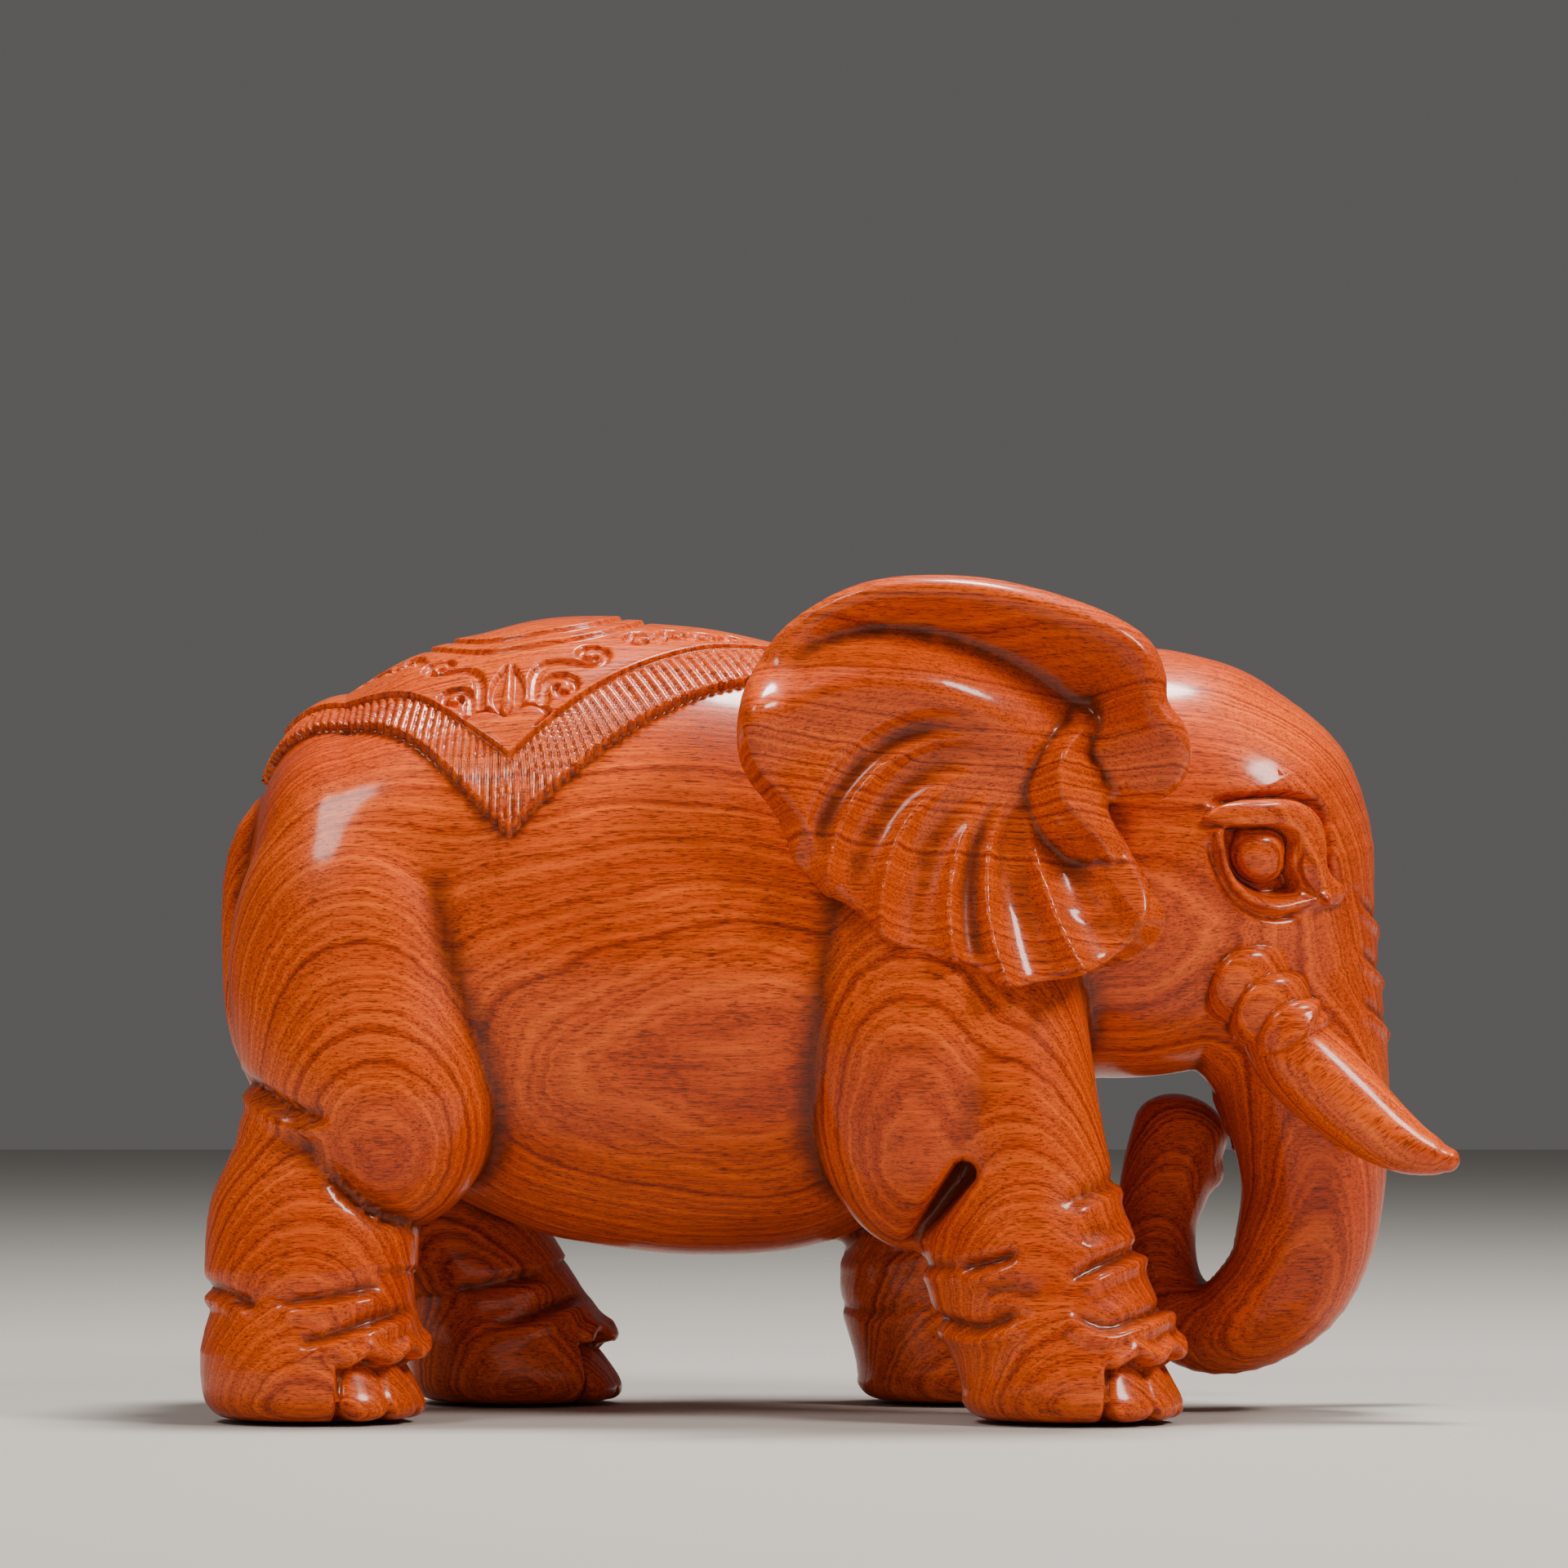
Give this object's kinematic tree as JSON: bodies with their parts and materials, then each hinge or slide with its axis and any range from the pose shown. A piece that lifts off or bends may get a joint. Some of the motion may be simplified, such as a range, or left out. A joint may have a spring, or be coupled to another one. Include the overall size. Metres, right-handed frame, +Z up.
{
  "type": "carved elephant figurine",
  "caption": "Carved hardwood elephant walking, with a relief saddle cloth, spread ears, tusks and a trunk curled under the chin, on felt foot pads.",
  "frame": {"origin": "on the table, under the middle of the bounding box", "axes": "+X the way the elephant walks, +Y its left side, +Z up"},
  "size_m": [0.2995, 0.13, 0.1999],
  "materials": {
    "rosewood": "polished, clear gloss lacquer",
    "beech": "bare, planed",
    "felt": "pressed felt"
  },
  "bodies": {
    "root": {"carved_body": "rosewood", "ear_right": "rosewood", "ear_left": "rosewood", "ear_dowel_right": "beech", "ear_dowel_left": "beech", "tusk_right": "rosewood", "tusk_left": "rosewood", "foot_pad_right_front": "felt", "foot_pad_left_front": "felt", "foot_pad_right_hind": "felt", "foot_pad_left_hind": "felt"}
  },
  "joints": []
}
